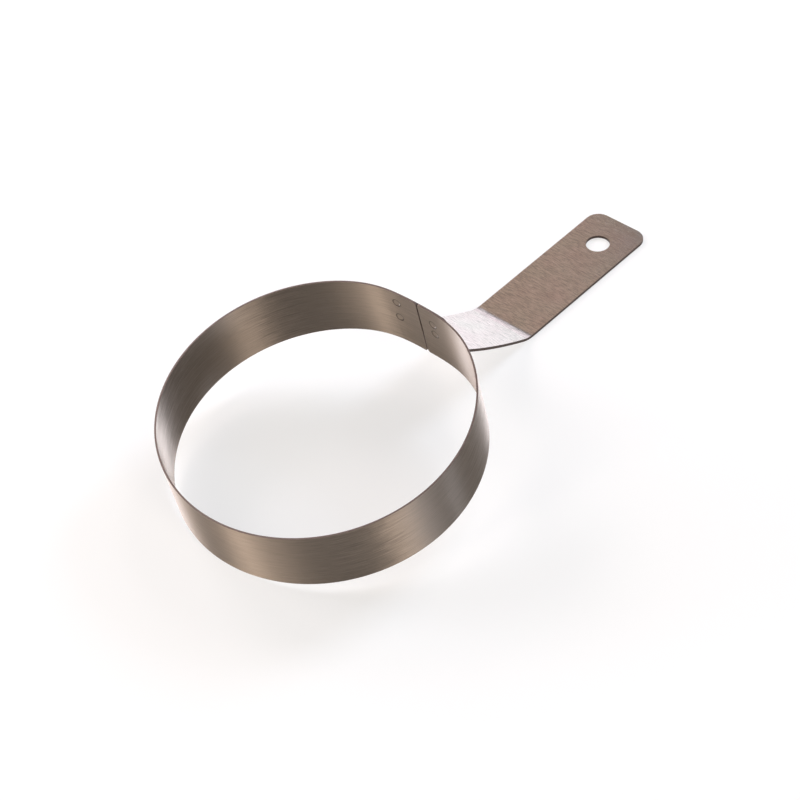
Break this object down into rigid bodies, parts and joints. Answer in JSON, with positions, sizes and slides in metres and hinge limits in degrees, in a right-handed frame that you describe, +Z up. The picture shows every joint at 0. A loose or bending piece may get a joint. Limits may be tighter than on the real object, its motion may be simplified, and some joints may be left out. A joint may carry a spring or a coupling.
{
  "type": "egg ring",
  "caption": "Round rolled-steel egg ring with a bent strip handle spot-welded over its butt seam and a hanging hole in the grip.",
  "frame": {"origin": "on the table, under the middle of the object's box, as it lies with the grip flat and the far rim touching", "axes": "+X along the handle towards the hanging hole, +Y across it, +Z up from the table; the ring's axis leans 8.85 degrees from +Z towards -X"},
  "size_m": [0.2012, 0.1022, 0.0383],
  "materials": {
    "band_steel": "brushed along the strip",
    "handle_steel": "short grain across the strip",
    "weld_metal": "fused, dull"
  },
  "bodies": {
    "root": {"ring_band": "band_steel", "handle": "handle_steel", "spot_weld_1": "weld_metal", "spot_weld_2": "weld_metal", "spot_weld_3": "weld_metal", "spot_weld_4": "weld_metal"}
  },
  "joints": []
}
